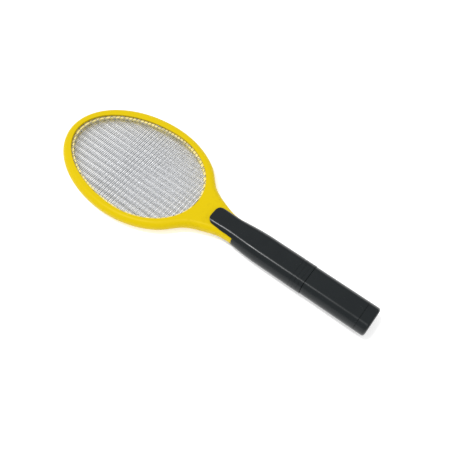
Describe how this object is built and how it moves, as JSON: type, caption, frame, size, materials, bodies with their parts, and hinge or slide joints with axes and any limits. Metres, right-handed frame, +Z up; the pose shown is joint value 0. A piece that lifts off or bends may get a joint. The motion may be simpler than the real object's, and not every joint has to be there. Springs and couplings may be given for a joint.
{
  "type": "electric fly swatter",
  "caption": "Battery powered fly swatter with an oval grid head in a plastic frame on a straight grip, a push button and a pull-off battery sleeve.",
  "frame": {"origin": "bottom centre of the swatter's bounding box, on the surface it lies on", "axes": "+Y along the handle towards the head's tip, +Z up through the flat side that faces up, push button underneath"},
  "size_m": [0.146, 0.437, 0.026],
  "materials": {
    "yellow_plastic": "moulded yellow plastic with a soft gloss",
    "spacer_plastic": "pale yellow insulating plastic",
    "grid_wire": "bright drawn wire, welded where it crosses",
    "screw_steel": "zinc plated steel",
    "black_plastic": "black moulded plastic with a satin sheen",
    "tray_plastic": "black moulded plastic",
    "cell_can": "wrapped battery can",
    "nickel_contact": "nickel plated spring steel",
    "board_laminate": "green circuit board laminate",
    "ferrite": "dark grey ferrite",
    "bobbin_plastic": "black phenolic plastic",
    "winding_tape": "yellow polyester tape over copper wire",
    "capacitor_film": "dark red dipped film capacitor",
    "capacitor_small": "brown dipped film capacitor",
    "diode_plastic": "black epoxy",
    "resistor_coat": "tan lacquer",
    "switch_plastic": "black switch case",
    "switch_plunger_plastic": "pale nylon",
    "button_plastic": "red moulded plastic",
    "led_lens": "tinted epoxy lens",
    "red_insulation": "red soft insulation",
    "black_insulation": "black soft insulation"
  },
  "bodies": {
    "root": {"head_frame_top": "yellow_plastic", "head_frame_bottom": "yellow_plastic", "grid_spacer_top": "spacer_plastic", "grid_spacer_bottom": "spacer_plastic", "outer_grid_top": "grid_wire", "live_grid": "grid_wire", "outer_grid_bottom": "grid_wire", "frame_screws": "screw_steel", "handle_shell_top": "black_plastic", "handle_shell_bottom": "black_plastic", "handle_screws": "screw_steel", "board_screws": "screw_steel", "battery_tray": "tray_plastic", "battery_left": "cell_can", "battery_right": "cell_can", "rear_link_contact": "nickel_contact", "front_positive_contact": "nickel_contact", "front_negative_contact": "nickel_contact", "battery_springs": "nickel_contact", "circuit_board": "board_laminate", "transformer_core": "ferrite", "transformer_bobbin": "bobbin_plastic", "transformer_winding": "winding_tape", "storage_capacitor": "capacitor_film", "multiplier_capacitors": "capacitor_small", "rectifier_diodes": "diode_plastic", "resistors": "resistor_coat", "oscillator_transistor": "diode_plastic", "push_switch_body": "switch_plastic", "indicator_led": "led_lens", "live_lead": "red_insulation", "ground_lead_top": "black_insulation", "ground_lead_bottom": "black_insulation", "battery_lead_positive": "red_insulation", "battery_lead_negative": "black_insulation"},
    "battery_cover": {"battery_sleeve": "black_plastic", "end_cap": "black_plastic"},
    "button": {"power_button": "button_plastic", "push_switch_plunger": "switch_plunger_plastic"}
  },
  "joints": [
    {"name": "battery_cover_slide", "type": "slide", "parent": "root", "child": "battery_cover", "axis": [0, -1, 0], "range_m": [0, 0.07]},
    {"name": "button_press", "type": "slide", "parent": "root", "child": "button", "axis": [0, 0, 1], "range_m": [0, 0.0012], "stiffness_N_per_m": 1000, "springref_m": -0.001}
  ]
}
